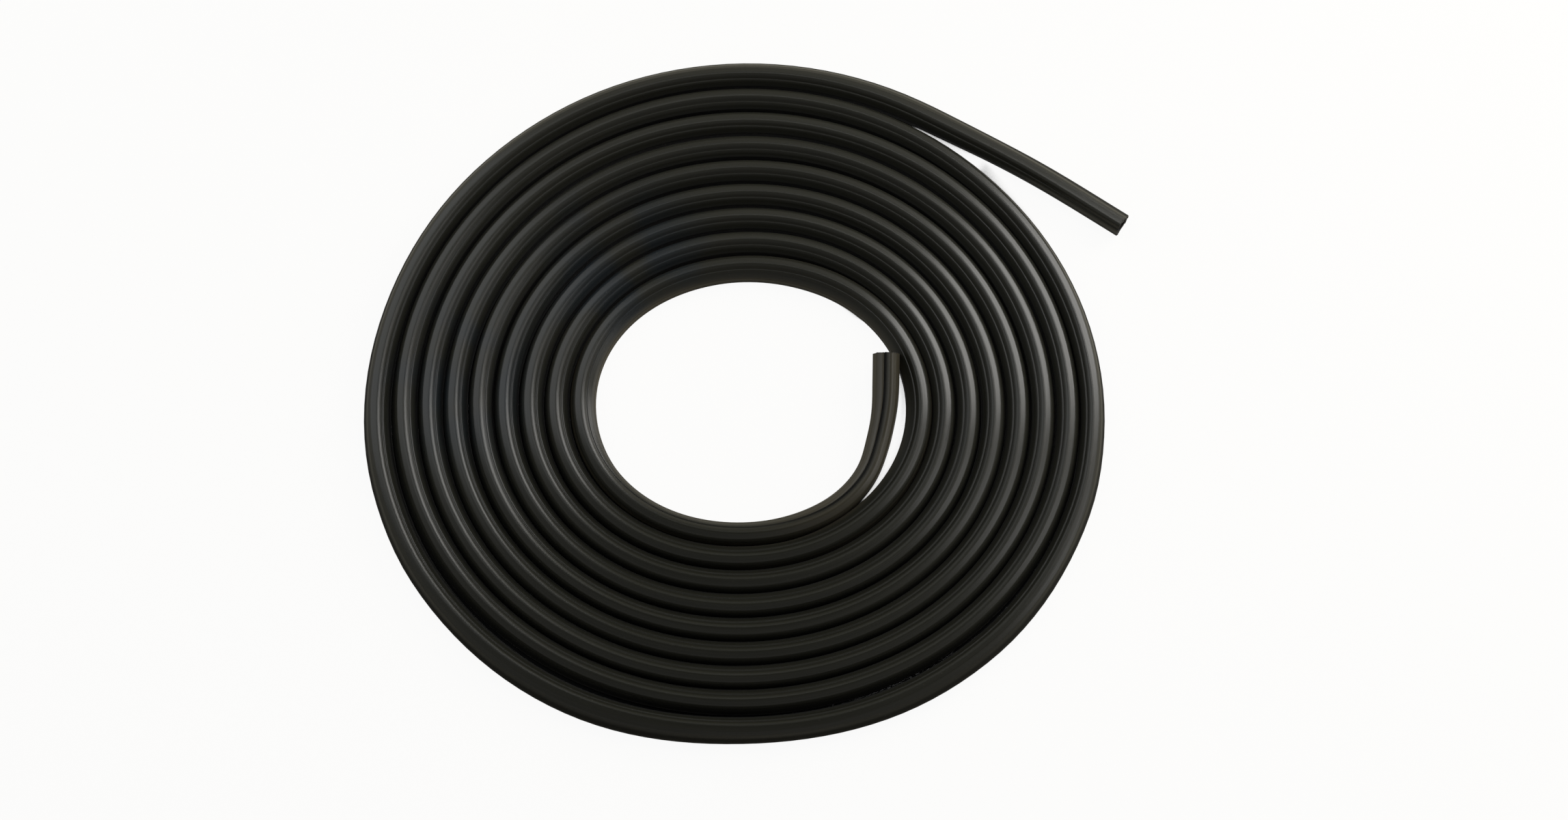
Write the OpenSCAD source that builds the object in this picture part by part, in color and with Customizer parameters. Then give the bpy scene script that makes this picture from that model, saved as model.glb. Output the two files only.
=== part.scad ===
// One length of black rubber soaker hose, wound clockwise into a flat spiral from a bare inner
// end in the eye to a bare outer end that leaves the coil in a straight tail.
// Millimetres, +Z up. The origin is the bottom centre of the hose as it lies.

/* [Hose] */
// Width of the hose across its sides
hose_w = 17; // [15:0.5:22]
// Height of the hose from its flat foot to its crown
hose_h = 15.3; // [14:0.1:20]
// Bore that the water runs through
bore_d = 11.5; // [6:0.1:12.5]
// Power of the section's curve, from 2 for an oval up to nearly square
corner_power = 3; // [2:0.25:3.5]
// Share of the uncut section's height that the flat foot takes off
foot_share = 0.1; // [0.05:0.01:0.2]

/* [Coil] */
// Mean radius at which the innermost turn begins
eye_r = 98; // [90:1:150]
// Turns from the inner end's lead to the outer end's lead
turns = 8.75; // [3.75:0.25:18.75]
// Gap between neighbouring turns
turn_gap = 0.7; // [0.6:0.1:5]
// How far the coil is wider than round, added to its radius left and right
oval = 7.8; // [0:0.1:10]
// Three-sided fullness that the coil gains with each turn
lobe_gain = 0.15; // [0:0.01:0.15]
// How far the inner lead leans off the spiral into the eye
lead_in = 7; // [4:0.5:10]
// Turns over which the inner lead leans in
lead_turns = 0.17; // [0.15:0.01:0.3]

/* [Cut ends] */
// Length of the straight piece at each cut end
end_l = 20; // [17:1:30]

/* [Hidden] */

// Rings of the wound tube in one turn, sides of each tube and of the bore, the ring at which the
// spiral begins, rings each way searched for the next turn, and how far a cutter runs past a face
turn_rings = 24;
coil_sides = 6;
stretch_sides = 12;
end_sides = 36;
bore_fn = 64;
first_ring = 2;
near_rings = 4;
overcut = 1;
hose_colour = "#26282a";

// Route of the inner free stretch and the middle of its cut face, set against the turn beside it:
// the place in turns, hose widths in from that turn's middle, hose heights lifted. The cut end
// swings towards that turn and climbs, in degrees, so that it leans on the turn's shoulder.
inner_route = [[0.03, 1.46, 0.06], [0.001, 1.43, 0.22]];
inner_cut = [-0.054, 0.89, 0.6];
inner_swing = 26;
inner_climb = 9;

// Route of the outer free stretch from the coil's outer lead: ahead and to the left
outer_route = [[0, 0], [43, -0.5], [86, -3], [129, -7.5]];

pitch = hose_w + turn_gap;
uncut_h = hose_h / (1 - foot_share);
foot_cut = uncut_h * foot_share;
axis_h = hose_h / 2;
start_turn = first_ring / turn_rings;
last_ring = first_ring + round(turns * turn_rings);

function unit(v) = v / norm(v);

// Outline of the hose as [side, height from its axis], flat underneath
function outline(sides) = [
    for (i = [0 : sides - 1])
        let (
            a = 360 * i / sides,
            reach = pow(pow(abs(cos(a)), corner_power) + pow(abs(sin(a)), corner_power),
                        -1 / corner_power),
            side = hose_w / 2 * reach * cos(a),
            height = max(uncut_h / 2 * (1 + reach * sin(a)), foot_cut)
        )
        [side, height - foot_cut - axis_h]
];

function bore_outline(sides) = [
    for (i = [0 : sides - 1]) bore_d / 2 * [cos(360 * i / sides), sin(360 * i / sides)]
];

// The spiral's centre line, measured in turns from the eye, clockwise from above
function turn_angle(t) = -360 * t;
function lean(t) = let (u = max(0, (lead_turns - t) / lead_turns)) lead_in * u * u * (3 - 2 * u);
function coil_r(t) = eye_r + pitch * t + oval * cos(2 * turn_angle(t))
    - lobe_gain * t * sin(3 * turn_angle(t)) - lean(t);
function outward(t) = [cos(turn_angle(t)), sin(turn_angle(t)), 0];
function coil_point(t) = coil_r(t) * outward(t) + [0, 0, axis_h];
function coil_heading(t) = let (h = 1 / 1000) unit(coil_point(t + h) - coil_point(t - h));

function left_of(heading) = unit([-heading.y, heading.x, 0]);

// A ring of the hose: its outer points, then its bore's points
function ring(centre, left, up, sides) = [
    for (p = concat(outline(sides), bore_outline(sides))) centre + p.x * left + p.y * up
];
function ring_across(centre, heading, sides) =
    let (left = left_of(heading)) ring(centre, left, cross(heading, left), sides);

// The coil: every turn has its rings at the same angles, in planes through the coil's middle,
// and each end runs straight for one width, square to its face
function ring_turn(i) = i / turn_rings;
inner_heading = -coil_heading(start_turn);
outer_heading = coil_heading(ring_turn(last_ring));
inner_mouth = coil_point(start_turn) + hose_w * inner_heading;
outer_mouth = coil_point(ring_turn(last_ring)) + hose_w * outer_heading;
coil_rings = concat(
    [ring_across(inner_mouth, -inner_heading, coil_sides)],
    [
        for (i = [first_ring : last_ring])
            ring(coil_point(ring_turn(i)), outward(ring_turn(i)), [0, 0, 1], coil_sides)
    ],
    [ring_across(outer_mouth, outer_heading, coil_sides)]
);

function last(list) = list[len(list) - 1];

// The inner free stretch: from the lead to the back of the cut end beside the next turn
function beside(p) = (coil_r(p.x + 1) - p.y * hose_w) * outward(p.x)
    + [0, 0, axis_h + p.z * hose_h];
inner_back = -coil_heading(inner_cut.x + 1);
inner_turn = atan2(inner_back.y, inner_back.x) - inner_swing;
inner_end_heading = [
    cos(inner_climb) * cos(inner_turn), cos(inner_climb) * sin(inner_turn), sin(inner_climb)
];
inner_points = concat(
    [inner_mouth],
    [for (p = inner_route) beside(p)],
    [beside(inner_cut) - end_l * inner_end_heading]
);

// The outer free stretch, in the frame of the lead that it leaves
outer_points = [
    for (p = outer_route) outer_mouth + p.x * outer_heading + p.y * left_of(outer_heading)
];
outer_end_heading = unit(last(outer_points) - outer_points[len(outer_points) - 2]);

// Rings of a free stretch, square to the coil's face at its start and to the cut end at its end
function stretch_rings(points, lead_heading, end_heading) = [
    for (i = [0 : len(points) - 1])
        ring_across(
            points[i],
            i == 0 ? lead_heading
                : i == len(points) - 1 ? end_heading
                : unit(unit(points[i] - points[i - 1]) + unit(points[i + 1] - points[i])),
            stretch_sides
        )
];
inner_rings = stretch_rings(inner_points, inner_heading, inner_end_heading);
outer_rings = stretch_rings(outer_points, outer_heading, outer_end_heading);

// Both faces of a cut end, for the box that the hose fills
function end_rings(points, heading) = [
    for (d = [0, end_l]) ring_across(last(points) + d * heading, heading, end_sides)
];

// The part's origin: the middle of that box, on the surface that the hose lies on
all_points = [
    for (rings = [
        coil_rings, inner_rings, outer_rings,
        end_rings(inner_points, inner_end_heading), end_rings(outer_points, outer_end_heading)
    ])
        for (r = rings)
            for (p = r) p
];
middle_x = (min([for (p = all_points) p.x]) + max([for (p = all_points) p.x])) / 2;
middle_y = (min([for (p = all_points) p.y]) + max([for (p = all_points) p.y])) / 2;

// Least gap between neighbouring turns, measured from the points of one turn's widest line to the
// straight runs between the points of the next turn's
function to_run(p, a, b) =
    let (f = min(1, max(0, ((p - a) * (b - a)) / ((b - a) * (b - a))))) norm(p - a - f * (b - a));
outer_line = [for (r = coil_rings) r[0]];
inner_line = [for (r = coil_rings) r[coil_sides / 2]];
least_gap = min([
    for (i = [0 : len(coil_rings) - 1])
        for (j = [i + turn_rings - near_rings : i + turn_rings + near_rings])
            if (j + 1 < len(coil_rings)) to_run(outer_line[i], inner_line[j], inner_line[j + 1])
]);
echo(least_gap_between_turns_mm = least_gap);

// One tube with its bore, closed by a flat wall at each end
module hollow_tube(rings, sides) {
    count = len(rings);
    function outer_at(r, i) = r * 2 * sides + i % sides;
    function bore_at(r, i) = outer_at(r, i) + sides;
    skin = [
        for (r = [0 : count - 2])
            for (i = [0 : sides - 1])
                for (f = [
                    [outer_at(r, i), outer_at(r + 1, i), outer_at(r + 1, i + 1)],
                    [outer_at(r, i), outer_at(r + 1, i + 1), outer_at(r, i + 1)],
                    [bore_at(r, i), bore_at(r + 1, i + 1), bore_at(r + 1, i)],
                    [bore_at(r, i), bore_at(r, i + 1), bore_at(r + 1, i + 1)]
                ])
                    f
    ];
    near_wall = [
        for (i = [0 : sides - 1])
            for (f = [
                [outer_at(0, i), outer_at(0, i + 1), bore_at(0, i + 1)],
                [outer_at(0, i), bore_at(0, i + 1), bore_at(0, i)]
            ])
                f
    ];
    e = count - 1;
    far_wall = [
        for (i = [0 : sides - 1])
            for (f = [
                [outer_at(e, i), bore_at(e, i + 1), outer_at(e, i + 1)],
                [outer_at(e, i), bore_at(e, i), bore_at(e, i + 1)]
            ])
                f
    ];
    polyhedron(
        points = [for (r = rings) for (p = r) p],
        faces = concat(skin, near_wall, far_wall),
        convexity = 12
    );
}

// A straight cut end with its true round bore, lying along +X from its near face
module cut_end_shape() {
    difference() {
        rotate([90, 0, 90])
            linear_extrude(height = end_l)
                polygon(outline(end_sides));
        translate([-overcut, 0, 0])
            rotate([0, 90, 0])
                cylinder(h = end_l + 2 * overcut, d = bore_d, $fn = bore_fn);
    }
}

module cut_end_at(point, heading) {
    climb = asin(heading.z);
    turn = atan2(heading.y, heading.x);
    translate(point)
        rotate([0, -climb, turn])
            cut_end_shape();
}

module to_origin() {
    translate([-middle_x, -middle_y, 0]) children();
}

// The wound turns
module coil() {
    color(hose_colour) to_origin() hollow_tube(coil_rings, coil_sides);
}

// The free stretch from the innermost turn to the inner cut end
module inner_stretch() {
    color(hose_colour) to_origin() hollow_tube(inner_rings, stretch_sides);
}

// The inner cut end, leaning on the turn beside it
module inner_end() {
    color(hose_colour) to_origin() cut_end_at(last(inner_points), inner_end_heading);
}

// The free stretch from the outermost turn to the outer cut end
module outer_stretch() {
    color(hose_colour) to_origin() hollow_tube(outer_rings, stretch_sides);
}

// The outer cut end
module outer_end() {
    color(hose_colour) to_origin() cut_end_at(last(outer_points), outer_end_heading);
}

coil();
inner_stretch();
inner_end();
outer_stretch();
outer_end();
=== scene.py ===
"""A length of black rubber soaker hose, wound into a flat spiral, in a plain white studio.

Everything is in metres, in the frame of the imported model. The hose is one continuous hollow tube:
its turns, the free stretch that climbs out of the eye and leans on the turn beside it, and the
straight tail that leaves the outermost turn.
"""

import logging
import math
from dataclasses import dataclass, field
from enum import Enum
from typing import Any, Sequence

import bpy
import numpy as np
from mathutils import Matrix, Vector

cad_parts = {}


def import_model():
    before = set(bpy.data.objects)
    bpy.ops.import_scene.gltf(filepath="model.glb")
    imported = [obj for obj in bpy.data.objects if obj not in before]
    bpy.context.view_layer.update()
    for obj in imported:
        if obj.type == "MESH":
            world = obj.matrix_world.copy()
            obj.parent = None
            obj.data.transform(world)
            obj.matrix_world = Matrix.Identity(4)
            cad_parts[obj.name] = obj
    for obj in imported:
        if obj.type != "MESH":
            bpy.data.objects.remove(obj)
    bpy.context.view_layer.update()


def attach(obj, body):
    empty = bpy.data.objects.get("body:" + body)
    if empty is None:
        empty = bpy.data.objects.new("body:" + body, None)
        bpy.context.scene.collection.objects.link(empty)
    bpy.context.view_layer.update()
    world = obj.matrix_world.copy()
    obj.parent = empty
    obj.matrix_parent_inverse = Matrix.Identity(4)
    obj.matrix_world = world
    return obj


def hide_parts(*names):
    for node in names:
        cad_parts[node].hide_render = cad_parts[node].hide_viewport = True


LOG = logging.getLogger("soaker_hose")
MM = 0.001
FRAME_SIZE = (2295, 1200)
SOLID_RINGS = 24
Pair = tuple[float, float]
Triple = tuple[float, float, float]
Knots = tuple[Pair, ...]


class FarEnd(Enum):
    """What is on the end of a free hose."""

    BARE = "bare"
    FITTING = "fitting"


class Stiffness(Enum):
    """How readily a hose bends."""

    MEDIUM = "medium"
    STIFF = "stiff"


class Lay(Enum):
    """How a hose lies."""

    COILED = "coiled"
    LOOSE = "loose"


class Skin(Enum):
    """The surfaces of the hose, as places in its list of materials."""

    OUTSIDE = 0
    CUT = 1
    BORE = 2


# Shader maths


class Value:
    """One output socket of a node tree, on which arithmetic adds Math nodes."""

    def __init__(self, tree: "Tree", socket: bpy.types.NodeSocket) -> None:
        """Wraps a socket.

        Args:
            tree: The tree that new nodes go into.
            socket: The output socket.
        """
        self.tree = tree
        self.socket = socket

    def _math(self, operation: str, *values: Any) -> "Value":
        """Adds a Math node.

        Args:
            operation: The node's operation.
            *values: Its inputs, as numbers or values.

        Returns:
            The node's result.
        """
        inputs = dict(enumerate(values))
        return self.tree.node("ShaderNodeMath", {"operation": operation}, inputs)

    def __add__(self, other: Any) -> "Value":
        """This value plus another."""
        return self._math("ADD", self, other)

    def __radd__(self, other: Any) -> "Value":
        """Another value plus this one."""
        return self._math("ADD", other, self)

    def __sub__(self, other: Any) -> "Value":
        """This value less another."""
        return self._math("SUBTRACT", self, other)

    def __rsub__(self, other: Any) -> "Value":
        """Another value less this one."""
        return self._math("SUBTRACT", other, self)

    def __mul__(self, other: Any) -> "Value":
        """This value times another."""
        return self._math("MULTIPLY", self, other)

    def __rmul__(self, other: Any) -> "Value":
        """Another value times this one."""
        return self._math("MULTIPLY", other, self)

    def at_least(self, other: Any) -> "Value":
        """The greater of this value and another."""
        return self._math("MAXIMUM", self, other)

    def ramp(self, low: float, high: float) -> "Value":
        """This value mapped smoothly from 0 at low to 1 at high.

        Args:
            low: Where the result is 0.
            high: Where the result is 1.

        Returns:
            The mapped value.
        """
        return self.tree.node(
            "ShaderNodeMapRange",
            {"interpolation_type": "SMOOTHSTEP"},
            {"Value": self, "From Min": low, "From Max": high},
        )

    def band(self, rise: Sequence[float], fall: Sequence[float]) -> "Value":
        """A value that is 1 between two slopes and 0 beyond them.

        Args:
            rise: Where it begins to rise and where it is full.
            fall: Where it begins to fall and where it is gone.

        Returns:
            The band.
        """
        return self.ramp(*rise) * (1.0 - self.ramp(*fall))

    def scaled(self, factors: Sequence[float]) -> "Value":
        """This vector times another, part by part.

        Args:
            factors: Three numbers.

        Returns:
            The scaled vector.
        """
        return self.tree.node(
            "ShaderNodeVectorMath", {"operation": "MULTIPLY"}, {0: self, 1: tuple(factors)}
        )


class Tree:
    """A material's or a world's node tree, emptied and ready to build."""

    def __init__(self, owner: Any) -> None:
        """Empties the owner's tree.

        Args:
            owner: A material or a world.
        """
        owner.use_nodes = True
        self.nodes = owner.node_tree.nodes
        self.links = owner.node_tree.links
        self.nodes.clear()

    def node(
        self,
        kind: str,
        settings: dict[str, Any] | None = None,
        inputs: dict[Any, Any] | None = None,
        output: Any = 0,
    ) -> Value:
        """Adds a node: its settings first, then the values or links of its sockets.

        Args:
            kind: The node's type.
            settings: Its properties.
            inputs: Values by socket name or number.
            output: Name or number of the output that is wanted.

        Returns:
            That output.
        """
        made = self.nodes.new(kind)
        for name, setting in (settings or {}).items():
            setattr(made, name, setting)
        for name, value in (inputs or {}).items():
            self._feed(made.inputs[name], value)
        return Value(self, made.outputs[output])

    def _feed(self, socket: bpy.types.NodeSocket, value: Any) -> None:
        """Links a value to an input socket, or sets the socket to a constant."""
        if isinstance(value, Value):
            self.links.new(value.socket, socket)
        else:
            socket.default_value = value

    def noise(
        self, place: Value, scale: float, detail: float = 2.0, roughness: float = 0.5
    ) -> Value:
        """Adds a noise texture.

        Args:
            place: Where it is read.
            scale: Its features per unit of place.
            detail: Its octaves.
            roughness: How strong the finer octaves are.

        Returns:
            The noise, about 0.5 on average.
        """
        inputs = {"Vector": place, "Scale": scale, "Detail": detail, "Roughness": roughness}
        return self.node("ShaderNodeTexNoise", {"noise_dimensions": "3D"}, inputs)

    def mix(self, factor: Any, first: Any, second: Any) -> Value:
        """Mixes two colours.

        Args:
            factor: From 0, the first, to 1, the second.
            first: A colour or value.
            second: A colour or value.

        Returns:
            The mixed colour.
        """
        made = self.nodes.new("ShaderNodeMix")
        made.data_type = "RGBA"
        sockets = {s.identifier: s for s in made.inputs}
        for name, value in (("Factor_Float", factor), ("A_Color", first), ("B_Color", second)):
            self._feed(sockets[name], value)
        found = next(s for s in made.outputs if s.identifier == "Result_Color")
        return Value(self, found)

    def attribute(self, name: str) -> Value:
        """Reads a mesh attribute as a vector."""
        return self.node("ShaderNodeAttribute", {"attribute_name": name}, output="Vector")

    def part(self, vector: Value, axis: str) -> Value:
        """Reads one part of a vector, X, Y or Z."""
        return self.node("ShaderNodeSeparateXYZ", None, {"Vector": vector}, output=axis)

    def away(self, place: Value, x: float, y: float) -> Value:
        """How far a place is from a point on the floor.

        Args:
            place: The place, as a vector.
            x: The point's distance along X, in metres.
            y: The point's distance along Y, in metres.

        Returns:
            The distance in metres.
        """
        ends = {0: place, 1: (x, y, 0.0)}
        operation = {"operation": "DISTANCE"}
        return self.node("ShaderNodeVectorMath", operation, ends, output="Value")

    def bump(self, height: Value, strength: float, distance: float) -> Value:
        """Turns a height into a normal.

        Args:
            height: The height, from about 0 to 1.
            strength: How strongly it shows.
            distance: What a height of 1 stands for, in metres.

        Returns:
            The normal.
        """
        inputs = {"Strength": strength, "Distance": distance, "Height": height}
        return self.node("ShaderNodeBump", None, inputs)

    def finish(self, shader: Value, kind: str = "ShaderNodeOutputMaterial") -> None:
        """Joins a shader to the tree's output.

        Args:
            shader: The shader.
            kind: The output node's type.
        """
        made = self.nodes.new(kind)
        self.links.new(shader.socket, made.inputs["Surface"])


# Finishes


@dataclass(frozen=True)
class HoseRubber:
    """Satin black rubber as it leaves the extruder: fine lines along it, a porous grain.

    Painted shade darkens its colour and gloss low on the flanks, beside the ridge and in the
    crease near the inner end; painted bounce light lightens the walls of the eye and the inner
    end. Distances are in metres: along the hose from its inner end, and across its section from
    its axis, outwards and upwards.
    """

    warm: Triple = (0.0138, 0.0136, 0.0098)
    cool: Triple = (0.0100, 0.0125, 0.0140)
    dust: Triple = (0.060, 0.057, 0.050)
    # Painted bounce light: a lighter brown standing in for light thrown up from the floor.
    eye_floor_bounce: Triple = (0.034, 0.029, 0.018)
    fine_lines: Triple = (9.0, 1500.0, 1500.0)
    broad_lines: Triple = (3.0, 420.0, 420.0)
    patches: Triple = (7.0, 60.0, 60.0)
    grain_scale: float = 2600.0
    speck_scale: float = 900.0
    roughness: float = 0.31
    flank_roughness: float = 0.40
    # Painted shade: the share of their colour that the lower flanks, down between the turns, keep.
    flank_shade_tone: float = 0.40
    flank_fade: Pair = (-0.0005, 0.0032)
    gloss: float = 0.32
    # Gloss of the shaded copy of the skin, mixed in where shade is painted.
    shaded_copy_gloss: float = 0.14
    # Painted shade on the band between the eye-side bevel and the ridge: its colour and gloss are
    # lowered.
    groove_side_shade: tuple[Pair, Pair] = ((-0.0074, -0.0052), (-0.0022, -0.0004))
    groove_side_shade_starts: Pair = (0.10, 0.25)
    groove_side_shade_share: float = 0.6
    ridge: tuple[Pair, Pair] = ((-0.0034, -0.0022), (0.0004, 0.0016))
    ridge_share: float = 0.9
    # Painted shade in the crease line near the inner end.
    crease: tuple[Pair, Pair] = ((-0.0046, -0.0036), (-0.0030, -0.0020))
    crease_shade_share: float = 0.9
    # Painted shade: round this place at the front of the coil the ridge takes the duller gloss,
    # which darkens its highlight.
    ridge_shade_place: Pair = (0.075, -0.19)
    ridge_shade_reach: Pair = (0.15, 0.25)
    eye_reach: Pair = (0.80, 0.98)
    # Reach of the inner end, where bounce light and crease shade are painted.
    end_reach: Pair = (0.11, 0.20)
    end_eye_side: Pair = (-0.0048, -0.0036)
    end_crown: Pair = (-0.0022, -0.0010)
    blue_patches: Knots = ((-0.206, 0.015), (-0.090, 0.093))
    blue_patch_reach: Pair = (0.0255, 0.085)
    blue_patch_scale: float = 22.0
    relief_strength: float = 0.16
    relief_height: float = 0.0004

    def bluer_places(self, tree: Tree) -> Value:
        """Where the rubber is a little bluer: noisy patches round two points on the coil.

        Args:
            tree: The material's tree.

        Returns:
            A value from 0, none, to 1.
        """
        place = tree.node("ShaderNodeTexCoord", output="Object")
        found: Any = 0.0
        for x, y in self.blue_patches:
            found = found + (1.0 - tree.away(place, x, y).ramp(*self.blue_patch_reach))
        return found * tree.noise(place, self.blue_patch_scale, 1.0).ramp(0.40, 0.60)

    def build(self) -> bpy.types.Material:
        """Builds the material.

        Returns:
            The material, which reads the hose's own run of coordinates.
        """
        material = bpy.data.materials.new("hose_rubber_skin")
        tree = Tree(material)
        run = tree.attribute("run")
        lines = tree.noise(run.scaled(self.fine_lines), 1.0, 3.0, 0.6)
        broad = tree.noise(run.scaled(self.broad_lines), 1.0, 2.0)
        grain = tree.noise(run, self.grain_scale, 3.0, 0.65)
        patches = tree.noise(run.scaled(self.patches), 1.0, 2.0)
        along, side, height = (tree.part(run, axis) for axis in "XYZ")
        place = tree.node("ShaderNodeTexCoord", output="Object")

        at_end = 1.0 - along.ramp(*self.end_reach)
        in_eye = 1.0 - along.ramp(*self.eye_reach)
        flank = 1.0 - height.ramp(*self.flank_fade)
        # Painted shade: a band on the eye side of the ridge, from a little way along the hose.
        groove_side_shade = side.band(*self.groove_side_shade) * self.groove_side_shade_share * along.ramp(*self.groove_side_shade_starts)
        # Painted shade: the crease line is darkened near the inner end.
        crease_shade = side.band(*self.crease) * at_end
        # Painted shade on the ridge round one place at the front of the coil.
        ridge_shade_zone = 1.0 - tree.away(place, *self.ridge_shade_place).ramp(*self.ridge_shade_reach)
        # Painted shade on reflections: where the duller copy of the skin is mixed in.
        gloss_shade_mask = groove_side_shade.at_least(side.band(*self.ridge) * ridge_shade_zone * self.ridge_share)
        gloss_shade_mask = gloss_shade_mask.at_least(flank * side.ramp(0.0, 0.002)).at_least(crease_shade)

        specks = tree.noise(run, self.speck_scale, 1.0).ramp(0.735, 0.80)
        specks = specks * patches.ramp(0.45, 0.7)
        colour = tree.mix(self.bluer_places(tree), (*self.warm, 1.0), (*self.cool, 1.0))
        tone = 0.72 + 0.56 * broad * (0.6 + 0.8 * lines)
        # Painted shade: the lower flanks between the turns are darkened, and the band on the eye
        # side of the ridge by up to about a fifth.
        tone = tone * (1.0 - flank * (1.0 - self.flank_shade_tone)) * (1.0 - 0.35 * groove_side_shade)
        tone = tone * (1.0 - self.crease_shade_share * crease_shade)
        shaded = tree.node(
            "ShaderNodeVectorMath", {"operation": "SCALE"}, {"Vector": colour, "Scale": tone}
        )
        # Painted bounce light: the lower walls of the innermost turn, in noisy patches, and the
        # inner end outside its crease are mixed towards a lighter brown, as if lit by light off the
        # floor.
        eye_wall_bounce = in_eye * flank * (0.25 + 0.75 * broad.ramp(0.35, 0.60))
        bare = (1.0 - side.ramp(*self.end_eye_side)) * 0.9 + side.ramp(*self.end_crown) * 0.6
        bounce_painted = eye_wall_bounce.at_least(at_end * bare)
        shaded = tree.mix(bounce_painted, shaded, (*self.eye_floor_bounce, 1.0))
        shaded = tree.mix(specks * 0.55, shaded, (*self.dust, 1.0))

        rough = self.roughness + (lines - 0.5) * 0.16 + (broad - 0.5) * 0.14
        rough = rough + (grain - 0.5) * 0.10 + specks * 0.2 + flank * self.flank_roughness
        relief = lines * 0.6 + broad * 0.8 + grain * 0.22
        bump = tree.bump(relief, self.relief_strength, self.relief_height)
        # Lit and shaded copies of the skin: the duller one is mixed in beside the ridge, on the
        # outer lower flanks, in the end's crease and round one place at the front, as painted shade
        # on reflections.
        skins = []
        for gloss in (self.gloss, self.shaded_copy_gloss):
            sockets = {"Base Color": shaded, "Roughness": rough, "Normal": bump}
            sockets["Specular IOR Level"] = gloss
            skins.append(tree.node("ShaderNodeBsdfPrincipled", None, sockets))
        tree.finish(tree.node("ShaderNodeMixShader", None, {0: gloss_shade_mask, 1: skins[0], 2: skins[1]}))
        return material


@dataclass(frozen=True)
class CutRubber:
    """The same rubber where a knife went through it: greyer, rough, with torn specks."""

    dark: Triple = (0.012, 0.011, 0.010)
    pale: Triple = (0.12, 0.115, 0.105)
    tear_scale: float = 1300.0
    fleck_scale: float = 620.0
    strokes: Triple = (400.0, 260.0, 2600.0)
    roughness: float = 0.62
    gloss: float = 0.3

    def build(self) -> bpy.types.Material:
        """Builds the material.

        Returns:
            The material of the cut faces.
        """
        material = bpy.data.materials.new("hose_rubber_cut")
        tree = Tree(material)
        run = tree.attribute("run")
        tear = tree.noise(run, self.tear_scale, 4.0, 0.7)
        strokes = tree.noise(run.scaled(self.strokes), 1.0, 2.0)
        torn = tree.noise(run, self.fleck_scale, 1.0).ramp(0.60, 0.72)
        sockets = {
            "Base Color": tree.mix(torn * 0.6, (*self.dark, 1.0), (*self.pale, 1.0)),
            "Roughness": self.roughness + (tear - 0.5) * 0.25,
            "Specular IOR Level": self.gloss,
            "Normal": tree.bump(tear + strokes * 0.7, 0.5, 0.0005),
        }
        tree.finish(tree.node("ShaderNodeBsdfPrincipled", None, sockets))
        return material


@dataclass(frozen=True)
class BoreRubber:
    """The inside of the hose: matt, and darker than the outside."""

    colour: Triple = (0.006, 0.006, 0.006)
    grain_scale: float = 1500.0
    roughness: float = 0.8
    gloss: float = 0.2

    def build(self) -> bpy.types.Material:
        """Builds the material.

        Returns:
            The bore's material.
        """
        material = bpy.data.materials.new("hose_rubber_bore")
        tree = Tree(material)
        grain = tree.noise(tree.attribute("run"), self.grain_scale, 3.0, 0.6)
        sockets = {
            "Base Color": (*self.colour, 1.0),
            "Roughness": self.roughness + (grain - 0.5) * 0.2,
            "Specular IOR Level": self.gloss,
        }
        tree.finish(tree.node("ShaderNodeBsdfPrincipled", None, sockets))
        return material


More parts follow.
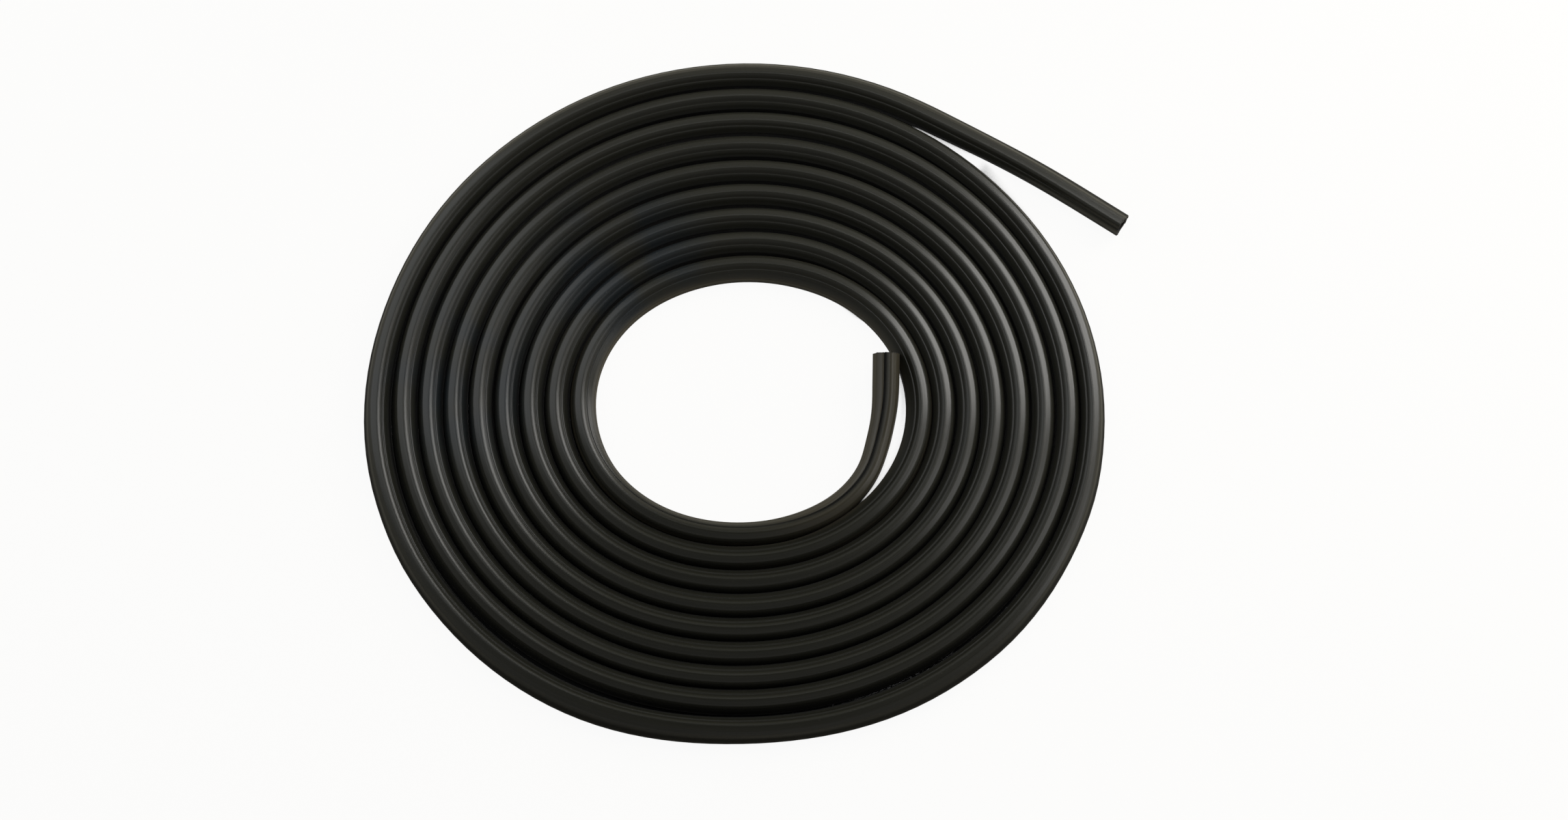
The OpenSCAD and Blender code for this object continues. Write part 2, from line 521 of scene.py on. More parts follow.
@dataclass(frozen=True)
class StudioWhite:
    """Seamless white paper, which the camera sees near white and which keeps soft shadows.

    Between the turns it is seen dark where little of the room is open above it. Each open place
    is its X, its Y, its reach and how much it opens, and no darkness shows there.
    """

    paper: Triple = (0.62, 0.57, 0.44)
    grain_scale: float = 160.0
    glow: float = 0.94
    mirrored_glow: float = 0.20
    slot_depth: float = 0.03
    slot_samples: int = 8
    slot_openness: Pair = (0.39, 0.54)
    # Colour of the painted shade that the camera sees between the turns.
    slot_shade_colour: Triple = (0.012, 0.012, 0.012)
    open_places: tuple[tuple[float, float, float, float], ...] = (
        (0.080, -0.010, 0.072, 0.36),
        (0.145, 0.195, 0.034, 0.30),
    )
    open_edge: float = 0.010
    shut_place: Pair = (-0.144, -0.197)
    shut_reach: Pair = (0.13, 0.19)
    shut_loss: float = 0.3
    coil_middle: Pair = (-0.009, 0.0)
    coil_band: tuple[Pair, Pair] = ((0.100, 0.106), (0.246, 0.252))

    def shut(self, tree: Tree) -> Value:
        """Where the floor is shut in between the turns, and painted shade darkens it.

        Args:
            tree: The material's tree.

        Returns:
            A value from 0, open, to 1.
        """
        place = tree.node("ShaderNodeTexCoord", output="Object")
        free = tree.node(
            "ShaderNodeAmbientOcclusion",
            {"samples": self.slot_samples},
            {"Distance": self.slot_depth},
            output="AO",
        )
        for x, y, reach, gain in self.open_places:
            opened = 1.0 - tree.away(place, x, y).ramp(reach - self.open_edge, reach)
            free = free + opened * gain
        closed = 1.0 - tree.away(place, *self.shut_place).ramp(*self.shut_reach)
        free = free - closed * self.shut_loss
        among = tree.away(place, *self.coil_middle).band(*self.coil_band)
        return (1.0 - free.ramp(*self.slot_openness)) * among

    def build(self) -> bpy.types.Material:
        """Builds the material.

        Returns:
            The floor's material.
        """
        material = bpy.data.materials.new("studio_paper")
        tree = Tree(material)
        place = tree.node("ShaderNodeTexCoord", output="Object")
        grain = tree.noise(place, self.grain_scale, 2.0)
        sockets = {"Color": (*self.paper, 1.0), "Normal": tree.bump(grain, 0.05, 0.0005)}
        paper = tree.node("ShaderNodeBsdfDiffuse", None, sockets)
        shown = tree.node("ShaderNodeEmission", None, {"Color": (1, 1, 1, 1), "Strength": 1.0})
        camera = tree.node("ShaderNodeLightPath", output="Is Camera Ray")
        seen = camera * self.glow
        for ray in ("Is Glossy Ray", "Is Transmission Ray"):
            mirrored = tree.node("ShaderNodeLightPath", output=ray)
            seen = seen.at_least(mirrored * self.mirrored_glow)
        pale = tree.node("ShaderNodeMixShader", None, {0: seen, 1: paper, 2: shown})
        # Painted shade: a near-black diffuse that the camera sees on the floor between the turns.
        dark = tree.node("ShaderNodeBsdfDiffuse", None, {"Color": (*self.slot_shade_colour, 1.0)})
        shut = camera * self.shut(tree)
        tree.finish(tree.node("ShaderNodeMixShader", None, {0: shut, 1: pale, 2: dark}))
        return material


# The hose's shape


def unit(vector: np.ndarray) -> np.ndarray:
    """Scales vectors to length 1 along their last axis."""
    return vector / np.linalg.norm(vector, axis=-1, keepdims=True)


def distances(points: np.ndarray) -> np.ndarray:
    """How far along a line each of its points is."""
    steps = np.linalg.norm(np.diff(points, axis=0), axis=1)
    return np.concatenate([[0.0], np.cumsum(steps)])


def smooth_through(points: np.ndarray, step: float) -> np.ndarray:
    """A smooth curve through points, natural at both ends, in steps of about one length.

    Args:
        points: The points, one a row.
        step: The wanted spacing.

    Returns:
        Points along the curve, the first and the last among them.
    """
    at = distances(points)
    count = len(points)
    system = np.eye(count)
    right = np.zeros_like(points)
    for i in range(1, count - 1):
        before, after = at[i] - at[i - 1], at[i + 1] - at[i]
        system[i, i - 1 : i + 2] = before, 2 * (before + after), after
        right[i] = 6 * (
            (points[i + 1] - points[i]) / after - (points[i] - points[i - 1]) / before
        )
    bend = np.linalg.solve(system, right)
    wanted = np.linspace(0.0, at[-1], max(2, round(at[-1] / step) + 1))
    k = np.clip(np.searchsorted(at, wanted, side="right") - 1, 0, count - 2)
    width = (at[k + 1] - at[k])[:, None]
    low = (at[k + 1] - wanted)[:, None]
    high = (wanted - at[k])[:, None]
    return (
        (bend[k] * low**3 + bend[k + 1] * high**3) / (6 * width)
        + (points[k] / width - bend[k] * width / 6) * low
        + (points[k + 1] / width - bend[k + 1] * width / 6) * high
    )


def eased_through(knots: Knots, at: np.ndarray) -> np.ndarray:
    """A value that passes through knots with a smooth step between each two.

    Args:
        knots: Places in rising order and their values, which are kept beyond both ends.
        at: The places wanted.

    Returns:
        The values there.
    """
    places, values = np.array(knots).T
    k = np.clip(np.searchsorted(places, at, side="right") - 1, 0, len(places) - 2)
    share = np.clip((at - places[k]) / (places[k + 1] - places[k]), 0, 1)
    return values[k] + (values[k + 1] - values[k]) * share * share * (3 - 2 * share)


@dataclass
class Section:
    """The hose cut across: an extruded shape with one bevelled side and a line beside its crown.

    Each corner is its distance outwards from the middle, its height and its radius, in mm. A
    radius takes at most corner_reach of a side. The outline's points gather where it bends.
    """

    corners: tuple[Triple, ...] = (
        (-8.5, 0.0, 1.0), (-8.85, 1.6, 1.2), (-8.3, 4.3, 1.2), (-8.1, 7.9, 0.8),
        (-7.2, 8.95, 0.8), (-5.7, 11.0, 2.0), (-4.1, 12.65, 1.0), (-3.4, 12.4, 0.8),
        (-2.7, 13.25, 1.0), (0.0, 15.85, 2.5), (4.8, 13.25, 3.2), (6.3, 11.4, 2.0),
        (7.1, 9.2, 2.0), (7.9, 6.6, 3.0), (8.6, 4.2, 1.5), (7.9, 1.6, 1.5), (7.9, 0.0, 0.8),
    )
    axis_height: float = 7.65
    bore_radius: float = 5.75
    outside_points: int = 64
    bore_points: int = 14
    fine_step: float = 0.05
    least_step: float = 1e-6
    corner_reach: float = 0.49
    low_share: float = 0.55
    bend_share: float = 3.2
    most_bend: float = 0.5

    def _rounded(self) -> np.ndarray:
        """The outline with its corners rounded, as many close points."""
        count = len(self.corners)
        places = np.array([corner[:2] for corner in self.corners])
        found = []
        for i, (_, _, radius) in enumerate(self.corners):
            here = places[i]
            to_last, to_next = places[i - 1] - here, places[(i + 1) % count] - here
            reach = min(np.linalg.norm(to_last), np.linalg.norm(to_next)) * self.corner_reach
            to_last, to_next = unit(to_last), unit(to_next)
            half = math.acos(np.clip(to_last @ to_next, -1, 1)) / 2
            back = min(radius / math.tan(half), reach)
            radius = back * math.tan(half)
            middle = here + unit(to_last + to_next) * radius / math.sin(half)
            start, end = here + to_last * back - middle, here + to_next * back - middle
            first = math.atan2(start[1], start[0])
            sweep = math.remainder(math.atan2(end[1], end[0]) - first, math.tau)
            steps = max(3, round(abs(sweep) * radius / self.fine_step))
            angles = first + sweep * np.linspace(0, 1, steps + 1)
            ring = np.stack([np.cos(angles), np.sin(angles)], axis=1)
            found.append(middle + radius * ring)
        return np.concatenate(found)

    def outside(self) -> np.ndarray:
        """The outline's points from its axis, in metres, closer together where it bends.

        Returns:
            One row a point: outwards and upwards.
        """
        line = self._rounded()
        closed = np.concatenate([line, line[:1]])
        gaps = np.linalg.norm(np.diff(closed, axis=0), axis=1)
        keep = gaps > self.least_step
        line, gaps = line[keep], gaps[keep]
        ways = unit(np.roll(line, -1, axis=0) - line)
        turn = np.arccos(np.clip((ways * np.roll(ways, 1, axis=0)).sum(axis=1), -1, 1))
        high = line[:, 1] > self.axis_height
        weight = gaps * np.where(high, 1.0, self.low_share)
        weight = weight + np.minimum(turn, self.most_bend) * self.bend_share
        at = np.concatenate([[0.0], np.cumsum(weight)])
        wanted = np.linspace(0, at[-1], self.outside_points, endpoint=False)
        closed = np.concatenate([line, line[:1]])
        picked = np.stack([np.interp(wanted, at, closed[:, k]) for k in (0, 1)], axis=1)
        return (picked - (0.0, self.axis_height)) * MM

    def bore(self) -> np.ndarray:
        """The bore's points from its axis, in metres."""
        angles = math.tau * np.arange(self.bore_points) / self.bore_points
        return self.bore_radius * MM * np.stack([np.cos(angles), np.sin(angles)], axis=1)


@dataclass
class Route:
    """The line that the middle of the hose follows, in mm from the middle of the spiral.

    The inner and outer knots are rings of the solid coil, through which the free stretches join
    the turns: the first and the last turn end on the last knot of each.
    """

    eye_r: float = 98.0
    pitch: float = 17.7
    oval: float = 7.8
    lobe_gain: float = 0.15
    lead_in: float = 7.0
    lead_turns: float = 0.14
    axis_height: float = 7.65
    inner_knots: tuple[float, ...] = (6.0, 5.0, 4.0, 3.5)
    outer_knots: tuple[float, ...] = (209.0, 210.0, 211.0, 212.0)
    first_turn: float = 3.5 / SOLID_RINGS
    last_turn: float = 212.0 / SOLID_RINGS
    rings_a_turn: int = 136
    free_step: float = 4.0
    lip: float = 0.07
    heading_step: float = 1e-4
    sway: float = 0.03
    sway_waves: Triple = (2.37, 2.9, 4.61)
    creep: Pair = (-0.20, 0.17)
    creep_turns: Pair = (4.5, 7.9)
    creep_fade: float = 0.6
    slack: Knots = (
        (0.80, 0.0), (0.98, 1.2), (1.13, 0.0), (7.80, 0.0), (7.90, -1.2), (8.01, -0.7),
        (8.05, 0.2), (8.13, 2.4), (8.18, 3.0), (8.25, 2.2), (8.335, 4.4), (8.42, 3.5),
        (8.46, 2.6), (8.56, 0.3), (8.83, 0.3),
    )
    middle: Pair = (4.16221, 5.7)
    inner_points: tuple[Triple, ...] = (
        (90.2, -46.4, 0.3), (95.3, -30.8, 1.1), (99.2, -14.0, 2.6), (101.4, 2.0, 4.5),
        (102.0, 16.0, 6.3), (102.3, 35.2, 9.2),
    )
    outer_points: Knots = (
        (17.0, 0.0), (60.0, -0.5), (103.0, -3.0), (146.0, -7.5), (165.88, -9.68),
    )

    def radius(self, turns: np.ndarray) -> np.ndarray:
        """The spiral's radius at each number of turns from the eye."""
        angle = -math.tau * turns
        left = np.maximum(0.0, (self.lead_turns - turns) / self.lead_turns)
        lean = self.lead_in * left * left * (3 - 2 * left)
        full = self.eye_r + self.pitch * turns + self.oval * np.cos(2 * angle)
        full = full - self.lobe_gain * turns * np.sin(3 * angle) - lean
        middle, full_creep = self.creep_turns
        count = np.minimum(turns, full_creep) - middle
        fade = ((full_creep, 1.0), (full_creep + self.creep_fade, 0.0))
        count = count * eased_through(fade, turns)
        across = self.creep[0] * np.cos(angle) + self.creep[1] * np.sin(angle)
        return full + count * across + eased_through(self.slack, turns)

    def spiral(self, turns: np.ndarray) -> np.ndarray:
        """Points of the wound turns, on the axis of the hose, which wanders as a hand lays it.

        Args:
            turns: Turns from the eye, clockwise from above.

        Returns:
            One row a point, in mm.
        """
        angle = -math.tau * turns
        slow, swell, quick = self.sway_waves
        wander = np.sin(angle * slow + 0.6) * np.sin(turns * swell + 1.1)
        wander += 0.6 * np.sin(angle * quick + turns)
        radius = self.radius(turns) + self.sway * wander
        height = np.full_like(radius, self.axis_height)
        return np.stack([radius * np.cos(angle), radius * np.sin(angle), height], axis=1)

    def stretch(
        self, knots: Sequence[float], free: Sequence[np.ndarray], end: np.ndarray
    ) -> np.ndarray:
        """A free stretch beyond one end of the wound turns.

        Args:
            knots: Rings of the solid coil through which it leaves the turns.
            free: The points that it goes through after those.
            end: The last point of the wound turns.

        Returns:
            Its points, from the turns outwards.
        """
        lead = self.spiral(np.array(knots) / SOLID_RINGS)
        line = smooth_through(np.concatenate([lead, free]), self.free_step)
        nearest = int(np.argmin(np.linalg.norm(line - end, axis=1)))
        return line[nearest + 1 :]

    def points(self) -> tuple[np.ndarray, np.ndarray]:
        """The whole line, from the inner cut end to the outer one.

        Returns:
            The points in metres in the part's frame, and for each the number of turns there, with
            the free stretches counted on past the spiral's ends.
        """
        turns = np.arange(
            round(self.first_turn * self.rings_a_turn),
            round(self.last_turn * self.rings_a_turn) + 1,
        )
        turns = turns / self.rings_a_turn
        wound = self.spiral(turns)
        lifted = np.array(self.inner_points) + (0, 0, self.axis_height)
        inner = self.stretch(self.inner_knots, lifted, wound[0])[::-1]
        end = self.spiral(np.array([self.last_turn - self.heading_step, self.last_turn]))
        ahead = unit(end[1] - end[0])
        left = np.array([-ahead[1], ahead[0], 0.0])
        tail = [end[1] + x * ahead + y * left for x, y in self.outer_points]
        outer = self.stretch(self.outer_knots, tail, wound[-1])
        line = np.concatenate([inner, wound, outer])
        along = distances(line)
        per_turn = math.tau * self.eye_r
        before = (along[: len(inner)] - along[len(inner)]) / per_turn
        beyond = (along[-len(outer) :] - along[-len(outer) - 1]) / per_turn
        counted = np.concatenate([turns[0] + before, turns, turns[-1] + beyond])
        line, counted = self.lipped(line), self.lipped(counted)
        return (line - (*self.middle, 0.0)) * MM, counted

    def lipped(self, values: np.ndarray) -> np.ndarray:
        """Adds one more value close to each end, so that the cut rims stay crisp.

        Args:
            values: One value or point a ring.

        Returns:
            The values with two more.
        """
        first = values[:1] + (values[1:2] - values[:1]) * self.lip
        last = values[-1:] + (values[-2:-1] - values[-1:]) * self.lip
        return np.concatenate([values[:1], first, values[1:-1], last, values[-1:]])


@dataclass
class Ends:
    """How the two cut ends look, in mm: a torn rim, a face that stands a little proud."""

    face_rings: tuple[float, ...] = (0.12, 0.34, 0.6, 0.88)
    proud: float = 0.25
    proud_rise: float = 1.4
    tear: float = 0.16
    seed: int = 11


@dataclass(frozen=True)
class Tube:
    """The placed rings of the hose, and the plain section that their points stand for."""

    outside: np.ndarray
    bore: np.ndarray
    along: np.ndarray
    ahead: np.ndarray
    outline: np.ndarray
    hole: np.ndarray


@dataclass
class SoakerHose:
    """The hose itself: one tube with its bore, from cut end to cut end.

    Bulges are in mm at turns from the eye, and rolls in degrees at turns from the hose's own
    ends. The sides, the foot and the crease are places in the section, in mm.
    """

    section: Section = field(default_factory=Section)
    route: Route = field(default_factory=Route)
    ends: Ends = field(default_factory=Ends)
    width: float = 0.017
    length: float = 10.0
    inner_rolls: Knots = ((0.02, 15.0), (0.11, 14.0), (0.46, 0.0))
    outer_rolls: Knots = (
        (-1.10, 0.0), (-0.98, -7.0), (-0.90, -5.0), (-0.80, -11.0), (-0.66, -3.0),
        (-0.40, -2.0), (0.0, -19.0),
    )
    roll_wander: float = 1.6
    roll_waves: Knots = ((4.3, 0.8), (9.7, 2.0))
    roll_turns: Knots = ((0.2, 0.0), (0.5, 1.0), (8.1, 1.0), (8.5, 0.0))
    eye_side: Knots = ((4.5, 0.0), (8.3, 1.0))
    far_side: Knots = ((5.0, 0.0), (8.3, 1.0))
    foot: Knots = ((-3.5, 1.0), (2.5, 0.0))
    inner_bulge: Knots = (
        (-0.03, 0.8), (0.03, -0.2), (0.07, -0.6), (0.15, 0.0), (0.40, 0.0), (0.50, 0.9),
        (0.72, 1.5), (0.83, 2.3), (1.05, 2.05), (1.12, 1.8), (1.21, 0.0),
    )
    outer_bulge: Knots = (
        (-0.03, 0.8), (0.03, 0.0), (0.07, -0.5), (0.15, 0.0), (7.97, 0.0), (8.06, 0.8),
        (8.16, 2.2), (8.24, 1.2), (8.32, 2.6), (8.42, 1.6), (8.55, 0.4), (8.62, 0.9),
        (8.70, 1.5), (8.83, 1.3), (8.95, 0.0),
    )
    slot_feet: Knots = (
        (8.02, 0.0), (8.10, 0.9), (8.18, 1.65), (8.25, 1.3), (8.335, 1.7), (8.42, 1.65),
        (8.46, 1.3), (8.56, 0.0),
    )
    slot_share: float = 0.6
    crease: Knots = ((0.03, 1.2), (0.25, 0.0))
    crease_side: float = -3.4
    crease_width: float = 1.3
    pinch: float = 0.17
    lean: float = 0.05
    lift_fade: float = 0.8
    slot: str = "hose_rubber"
    nodes: tuple[str, ...] = (
        "coil", "inner_stretch", "inner_end", "outer_stretch", "outer_end",
    )

    def rolls(self, turns: np.ndarray) -> np.ndarray:
        """How far the section is rolled about the axis at each ring, in radians.

        Args:
            turns: Turns from the eye at each ring.

        Returns:
            The rolls: above 0 the eye side is turned up.
        """
        inner = eased_through(self.inner_rolls, turns - turns[0])
        outer = eased_through(self.outer_rolls, turns - turns[-1])
        middle = eased_through(self.roll_turns, turns)
        slow, quick = (np.sin(turns * rate + start) for rate, start in self.roll_waves)
        wander = slow + 0.7 * quick
        return np.radians(inner + outer + self.roll_wander * wander * middle)

    def shapes(self, outline: np.ndarray, turns: np.ndarray) -> np.ndarray:
        """The outline at each ring: free sides bulge, feet spread, and a crease deepens.

        Args:
            outline: Points outwards and upwards from the axis.
            turns: Turns from the eye at each ring.

        Returns:
            Points by ring and place in the outline.
        """
        side, high = outline.T / MM
        inward = eased_through(self.eye_side, -side)
        outward = eased_through(self.far_side, side)
        foot = eased_through(self.foot, high)
        dent = np.exp(-(((side - self.crease_side) / self.crease_width) ** 2)) * (high > 0)
        found = np.repeat(outline[None], len(turns), axis=0)
        found[:, :, 0] -= MM * eased_through(self.inner_bulge, turns)[:, None] * inward
        found[:, :, 0] += MM * eased_through(self.outer_bulge, turns)[:, None] * outward
        found[:, :, 0] -= MM * eased_through(self.slot_feet, turns)[:, None] * inward * foot
        spread = self.slot_share * eased_through(self.slot_feet, turns + 1)
        found[:, :, 0] += MM * spread[:, None] * outward * foot
        found[:, :, 1] -= MM * eased_through(self.crease, turns)[:, None] * dent
        return found

    def ring_points(
        self,
        centres: np.ndarray,
        ahead: np.ndarray,
        rolls: np.ndarray,
        outline: np.ndarray,
    ) -> np.ndarray:
        """Places an outline round every centre.

        Args:
            centres: Where the rings are.
            ahead: The line's directions there.
            rolls: How far each ring is rolled.
            outline: Points outwards and upwards from the axis, by ring.

        Returns:
            Points by ring and place in the outline.
        """
        flat = ahead * (1, 1, 0)
        out = unit(np.stack([-flat[:, 1], flat[:, 0], flat[:, 2]], axis=1))
        up = np.cross(ahead, out)
        cos, sin = np.cos(rolls)[:, None], np.sin(rolls)[:, None]
        side = outline[:, :, 0] * cos + outline[:, :, 1] * sin
        high = outline[:, :, 1] * cos - outline[:, :, 0] * sin
        return (
            centres[:, None, :]
            + side[:, :, None] * out[:, None, :]
            + high[:, :, None] * up[:, None, :]
        )

    def build(self) -> bpy.types.Object:
        """Builds the hose's mesh.

        Returns:
            The hose, with its path kept for the frame's measure.
        """
        centres, turns = self.route.points()
        rolls = self.rolls(turns)
        ahead = unit(np.gradient(centres, axis=0))
        outline, hole = self.section.outside(), self.section.bore()
        shaped = self.shapes(outline, turns)
        pinched = 1 - self.pinch * eased_through(self.crease, turns)
        holes = hole[None] * pinched[:, None, None]
        outside = self.ring_points(centres, ahead, rolls, shaped)
        sunk = outside[:, :, 2].min(axis=1)
        lifted = centres[:, 2] / MM - self.route.axis_height
        lying = np.clip(1 - lifted / self.lift_fade, 0, 1)
        settle = np.where(turns < self.route.first_turn, np.minimum(sunk, lying * sunk), sunk)
        centres = centres - settle[:, None] * (0, 0, 1)
        ahead = unit(np.gradient(centres, axis=0))
        outside = self.ring_points(centres, ahead, rolls, shaped)
        bore = self.ring_points(centres, ahead, rolls, holes)
        for skin in (outside, bore, centres):
            skin[..., 1] -= self.lean * skin[..., 2]
        self.path = centres
        tube = Tube(outside, bore, distances(centres), ahead, outline, hole)
        LOG.info("hose line %.3f m, %d rings", tube.along[-1], len(centres))
        return self._mesh(tube)

    def _mesh(self, tube: Tube) -> bpy.types.Object:
        """Joins the rings into one closed skin.

        Args:
            tube: The placed rings.

        Returns:
            The hose as an object.
        """
        rings, sides = tube.outside.shape[:2]
        holes = tube.bore.shape[1]
        points = [tube.outside.reshape(-1, 3), tube.bore.reshape(-1, 3)]
        own = [self._own(tube.along, tube.outline), self._own(tube.along, tube.hole)]
        first_bore = rings * sides
        faces: list[tuple[int, ...]] = []
        skins: list[int] = []

        def join(start: int, count: int, inward: bool, skin: Skin) -> None:
            """Joins each ring of one skin to the next.

            Args:
                start: Number of the skin's first point.
                count: Points in a ring.
                inward: Whether the skin faces the axis.
                skin: The surface that it is.
            """
            for r in range(rings - 1):
                base = start + r * count
                for i in range(count):
                    j = (i + 1) % count
                    quad = (base + i, base + j, base + count + j, base + count + i)
                    faces.append(quad[::-1] if inward else quad)
                    skins.append(skin.value)

        join(0, sides, False, Skin.OUTSIDE)
        join(first_bore, holes, True, Skin.BORE)
        random = np.random.default_rng(self.ends.seed)
        for ring, facing in ((0, -1.0), (rings - 1, 1.0)):
            cursor = sum(len(part) for part in points)
            added, own_added, more = self._end_face(tube, ring, facing, cursor, random)
            points.append(added)
            own.append(own_added)
            faces.extend(more)
            skins.extend([Skin.CUT.value] * len(more))
        mesh = bpy.data.meshes.new("hose")
        mesh.from_pydata(np.concatenate(points).tolist(), [], faces)
        mesh.polygons.foreach_set("material_index", np.array(skins, np.int32))
        run = mesh.attributes.new("run", "FLOAT_VECTOR", "POINT")
        run.data.foreach_set("vector", np.concatenate(own).astype(np.float32).ravel())
        mesh.update()
        made = bpy.data.objects.new("hose", mesh)
        bpy.context.scene.collection.objects.link(made)
        return made

    def _own(self, along: np.ndarray, outline: np.ndarray) -> np.ndarray:
        """Coordinates of every point in the straightened hose.

        Args:
            along: Each ring's distance along the hose.
            outline: The section's points.

        Returns:
            One row a point: along, outwards, upwards.
        """
        rings, sides = len(along), len(outline)
        found = np.empty((rings, sides, 3))
        found[:, :, 0] = along[:, None]
        found[:, :, 1:] = outline[None]
        return found.reshape(-1, 3)

    def _end_face(
        self, tube: Tube, ring: int, facing: float, cursor: int, random: np.random.Generator
    ) -> tuple[np.ndarray, np.ndarray, list[tuple[int, ...]]]:
        """Closes one end between its rim and its bore with rings of slightly torn rubber.

        Args:
            tube: The placed rings.
            ring: Which of them is the end.
            facing: 1 where the cut faces along the line, otherwise -1.
            cursor: Number that the first new point gets.
            random: The source of the tears.

        Returns:
            The new points, their own coordinates, and the faces.
        """
        rings, sides = tube.outside.shape[:2]
        holes = tube.bore.shape[1]
        middle = tube.bore[ring].mean(axis=0)
        spokes = tube.outside[ring] - middle
        reach = np.linalg.norm(spokes, axis=1)
        hole = self.section.bore_radius * MM
        added, own = [], []
        loops = [range(ring * sides, (ring + 1) * sides)]
        for share in self.ends.face_rings:
            at = reach + (hole - reach) * share
            torn = random.normal(0.0, self.ends.tear * MM, sides)
            swell = math.sin(math.pi * min(1.0, share * self.ends.proud_rise))
            proud = self.ends.proud * MM * swell
            place = middle + spokes / reach[:, None] * at[:, None]
            place = place + tube.ahead[ring] * facing * (proud + torn)[:, None]
            added.append(place)
            shrunk = tube.outline * (at / reach)[:, None]
            own.append(np.column_stack([np.full(sides, tube.along[ring]), shrunk]))
            loops.append(range(cursor, cursor + sides))
            cursor += sides
        faces: list[tuple[int, ...]] = []
        for outer, inner in zip(loops[:-1], loops[1:]):
            for i in range(sides):
                j = (i + 1) % sides
                faces.append((outer[i], outer[j], inner[j], inner[i]))
        mouth = rings * sides + ring * holes
        spread = math.tau * np.arange(holes) / holes
        nearest = []
        for side, high in tube.outline:
            turn = np.remainder(spread - math.atan2(high, side) + math.pi, math.tau) - math.pi
            nearest.append(mouth + int(np.argmin(np.abs(turn))))
        last = loops[-1]
        for i in range(sides):
            j = (i + 1) % sides
            faces.append((last[i], last[j], nearest[j]))
            if nearest[i] != nearest[j]:
                faces.append((last[i], nearest[j], nearest[i]))
        if facing > 0:
            faces = [face[::-1] for face in faces]
        return np.concatenate(added), np.concatenate(own), faces

    def dress(self, hose: bpy.types.Object) -> None:
        """Args:
            hose: The built hose.
        """
        for finish in (HoseRubber(), CutRubber(), BoreRubber()):
            hose.data.materials.append(finish.build())
        hose.data.shade_smooth()
        skins = np.empty(len(hose.data.polygons), np.int32)
        hose.data.polygons.foreach_get("material_index", skins)
        hose.data.polygons.foreach_set("use_smooth", skins != Skin.CUT.value)
        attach(hose, "root")
        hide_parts(*self.nodes)


# The studio


@dataclass(frozen=True)
class SoftBox:
    """One large soft lamp, aimed at the hose."""

    name: str
    azimuth: float
    elevation: float
    distance: float
    width: float
    height: float
    radiance: float
    tint: Triple = (1.0, 1.0, 1.0)

    def build(self) -> bpy.types.Object:
        """Builds the lamp.

        Returns:
            The lamp's object.
        """
        azimuth, elevation = math.radians(self.azimuth), math.radians(self.elevation)
        level = math.cos(elevation)
        way = Vector((level * math.cos(azimuth), level * math.sin(azimuth), math.sin(elevation)))
        lamp = bpy.data.lights.new(self.name, "AREA")
        lamp.shape = "RECTANGLE"
        lamp.size, lamp.size_y = self.width, self.height
        lamp.energy = self.radiance * math.pi * self.width * self.height
        lamp.color = self.tint
        made = bpy.data.objects.new(self.name, lamp)
        made.location = way * self.distance
        made.rotation_euler = way.to_track_quat("Z", "Y").to_euler()
        made.visible_camera = False
        bpy.context.scene.collection.objects.link(made)
        return made


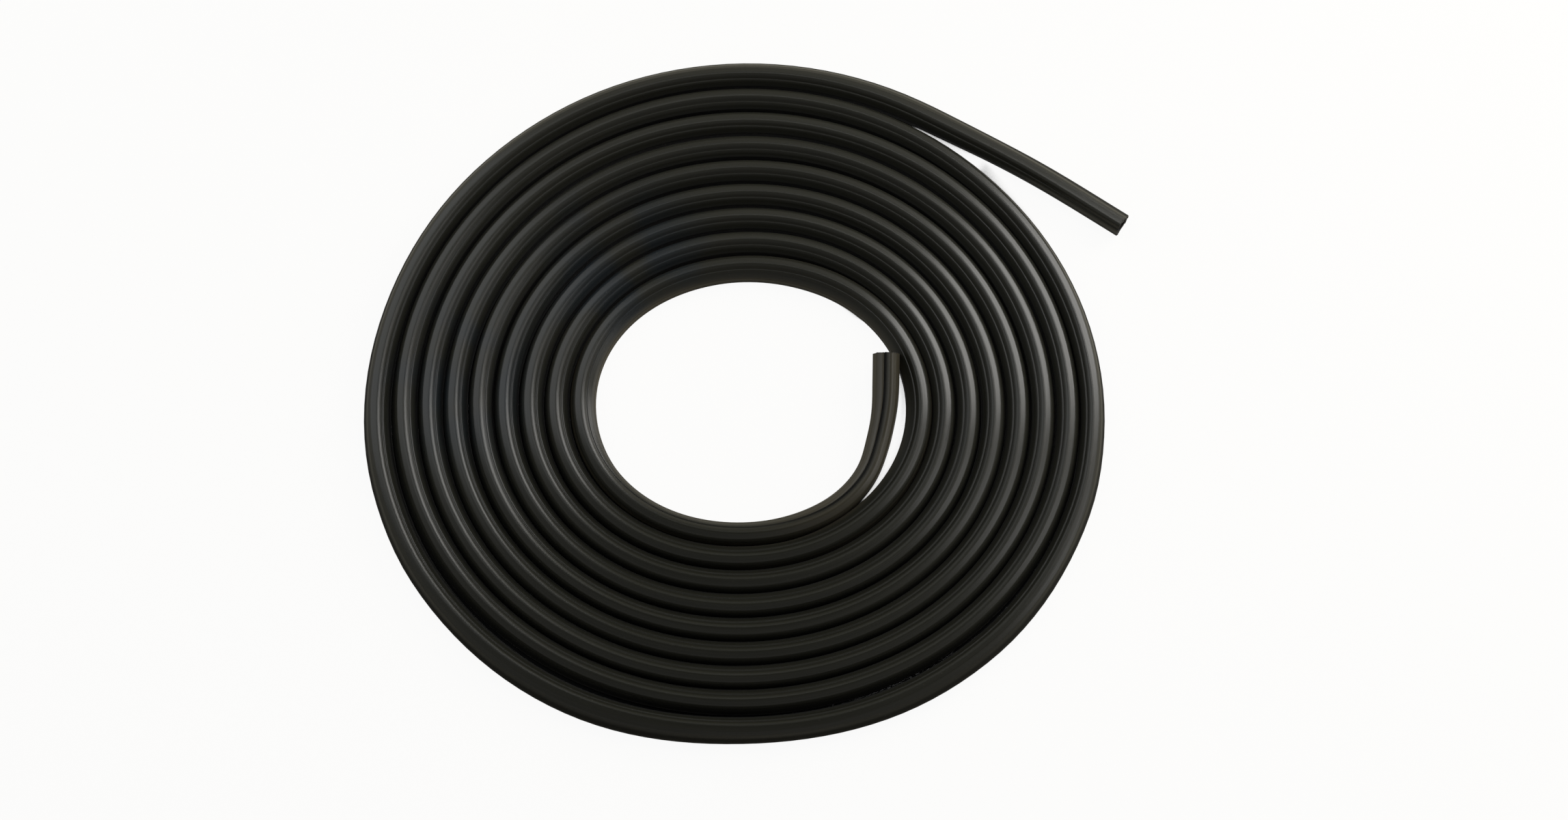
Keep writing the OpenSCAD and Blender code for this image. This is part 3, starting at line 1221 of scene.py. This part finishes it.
@dataclass
class Studio:
    """The floor, its curved wall, the lamps, the room's own light and the camera."""

    floor_radius: float = 7.5
    cove_radius: float = 1.5
    wall_height: float = 3.4
    floor_drop: float = 0.0002
    cove_steps: int = 12
    wall_sides: int = 96
    room_low: float = 0.78
    room_high: float = 0.03
    elevation: float = 72.41
    distance: float = 5.407
    mm_per_pixel: float = 0.48199
    hose_pixel: Pair = (1087.9, 591.0)
    hose_middle: Triple = (-0.00416221, -0.0057, 0.00765)
    sensor: float = 36.0
    clip_end: float = 60.0
    boxes: tuple[SoftBox, ...] = (
        SoftBox("key_box", 35.5, 21.0, 1.7, 1.05, 1.10, 8.0, (1.0, 0.985, 0.96)),
        SoftBox("high_box", 48.0, 60.0, 1.7, 0.59, 0.56, 6.2),
        SoftBox("left_box", 146.5, 40.0, 1.7, 1.55, 2.20, 1.5, (0.95, 0.98, 1.0)),
        SoftBox("front_box", -9.0, 26.0, 1.7, 0.75, 1.00, 2.1),
    )

    def build(self) -> None:
        """Builds the whole studio."""
        self.floor()
        for box in self.boxes:
            box.build()
        self.world()
        self.camera()
        scene = bpy.context.scene
        scene.view_settings.view_transform = "Standard"

    def floor(self) -> bpy.types.Object:
        """Builds the floor and the wall that it runs up into.

        Returns:
            The stage piece.
        """
        flat = self.floor_radius
        curve = [
            (flat + self.cove_radius * math.sin(a), self.cove_radius * (1 - math.cos(a)))
            for a in np.linspace(0, math.pi / 2, self.cove_steps)
        ]
        line = [(flat / 3, 0.0), *curve, (flat + self.cove_radius, self.wall_height)]
        n, drop = self.wall_sides, self.floor_drop
        points = [(0.0, 0.0, -drop)]
        for radius, height in line:
            for k in range(n):
                a = math.tau * k / n
                points.append((radius * math.cos(a), radius * math.sin(a), height - drop))
        faces: list[tuple[int, ...]] = [(0, 1 + k, 1 + (k + 1) % n) for k in range(n)]
        for r in range(len(line) - 1):
            for k in range(n):
                a, b = 1 + r * n + k, 1 + r * n + (k + 1) % n
                faces.append((a, a + n, b + n, b))
        mesh = bpy.data.meshes.new("studio_floor")
        mesh.from_pydata(points, [], faces)
        mesh.shade_smooth()
        made = bpy.data.objects.new("studio_floor", mesh)
        bpy.context.scene.collection.objects.link(made)
        mesh.materials.append(StudioWhite().build())
        return made

    def world(self) -> None:
        """Sets the room's own even light."""
        world = bpy.data.worlds.new("room")
        tree = Tree(world)
        way = tree.node("ShaderNodeTexCoord", output="Generated")
        height = tree.part(way, "Z")
        level = self.room_low + (self.room_high - self.room_low) * height.at_least(0.0)
        sockets = {"Color": (1, 1, 1, 1), "Strength": level}
        light = tree.node("ShaderNodeBackground", None, sockets)
        tree.finish(light, "ShaderNodeOutputWorld")
        bpy.context.scene.world = world

    def camera(self) -> bpy.types.Object:
        """Builds the camera.

        Returns:
            The camera's object.
        """
        tilt = math.radians(self.elevation)
        back = Vector((0.0, -math.cos(tilt), math.sin(tilt)))
        up = Vector((0.0, math.sin(tilt), math.cos(tilt)))
        scale = self.mm_per_pixel * MM
        right_of = (FRAME_SIZE[0] / 2 - self.hose_pixel[0]) * scale
        below = (FRAME_SIZE[1] / 2 - self.hose_pixel[1]) * scale
        aim = Vector(self.hose_middle) + Vector((right_of, 0.0, 0.0)) - up * below
        data = bpy.data.cameras.new("camera")
        data.sensor_width = self.sensor
        data.lens = self.sensor * self.distance / (FRAME_SIZE[0] * scale)
        data.clip_end = self.clip_end
        made = bpy.data.objects.new("camera", data)
        made.location = aim + back * self.distance
        made.rotation_euler = back.to_track_quat("Z", "Y").to_euler()
        bpy.context.scene.collection.objects.link(made)
        bpy.context.scene.camera = made
        return made


def corners(box: Any) -> list[list[float]]:
    """A box's lowest and highest corners as plain lists."""
    return [[float(x) for x in corner] for corner in box]


def main() -> None:
    """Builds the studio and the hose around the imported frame."""
    logging.basicConfig(level=logging.INFO, format="%(name)s: %(message)s")
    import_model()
    Studio().build()
    LOG.info("studio built")
    hose = SoakerHose()
    piece = hose.build()
    hose.dress(piece)
    LOG.info("hose built: %d faces", len(piece.data.polygons))


if __name__ == "__main__":
    main()
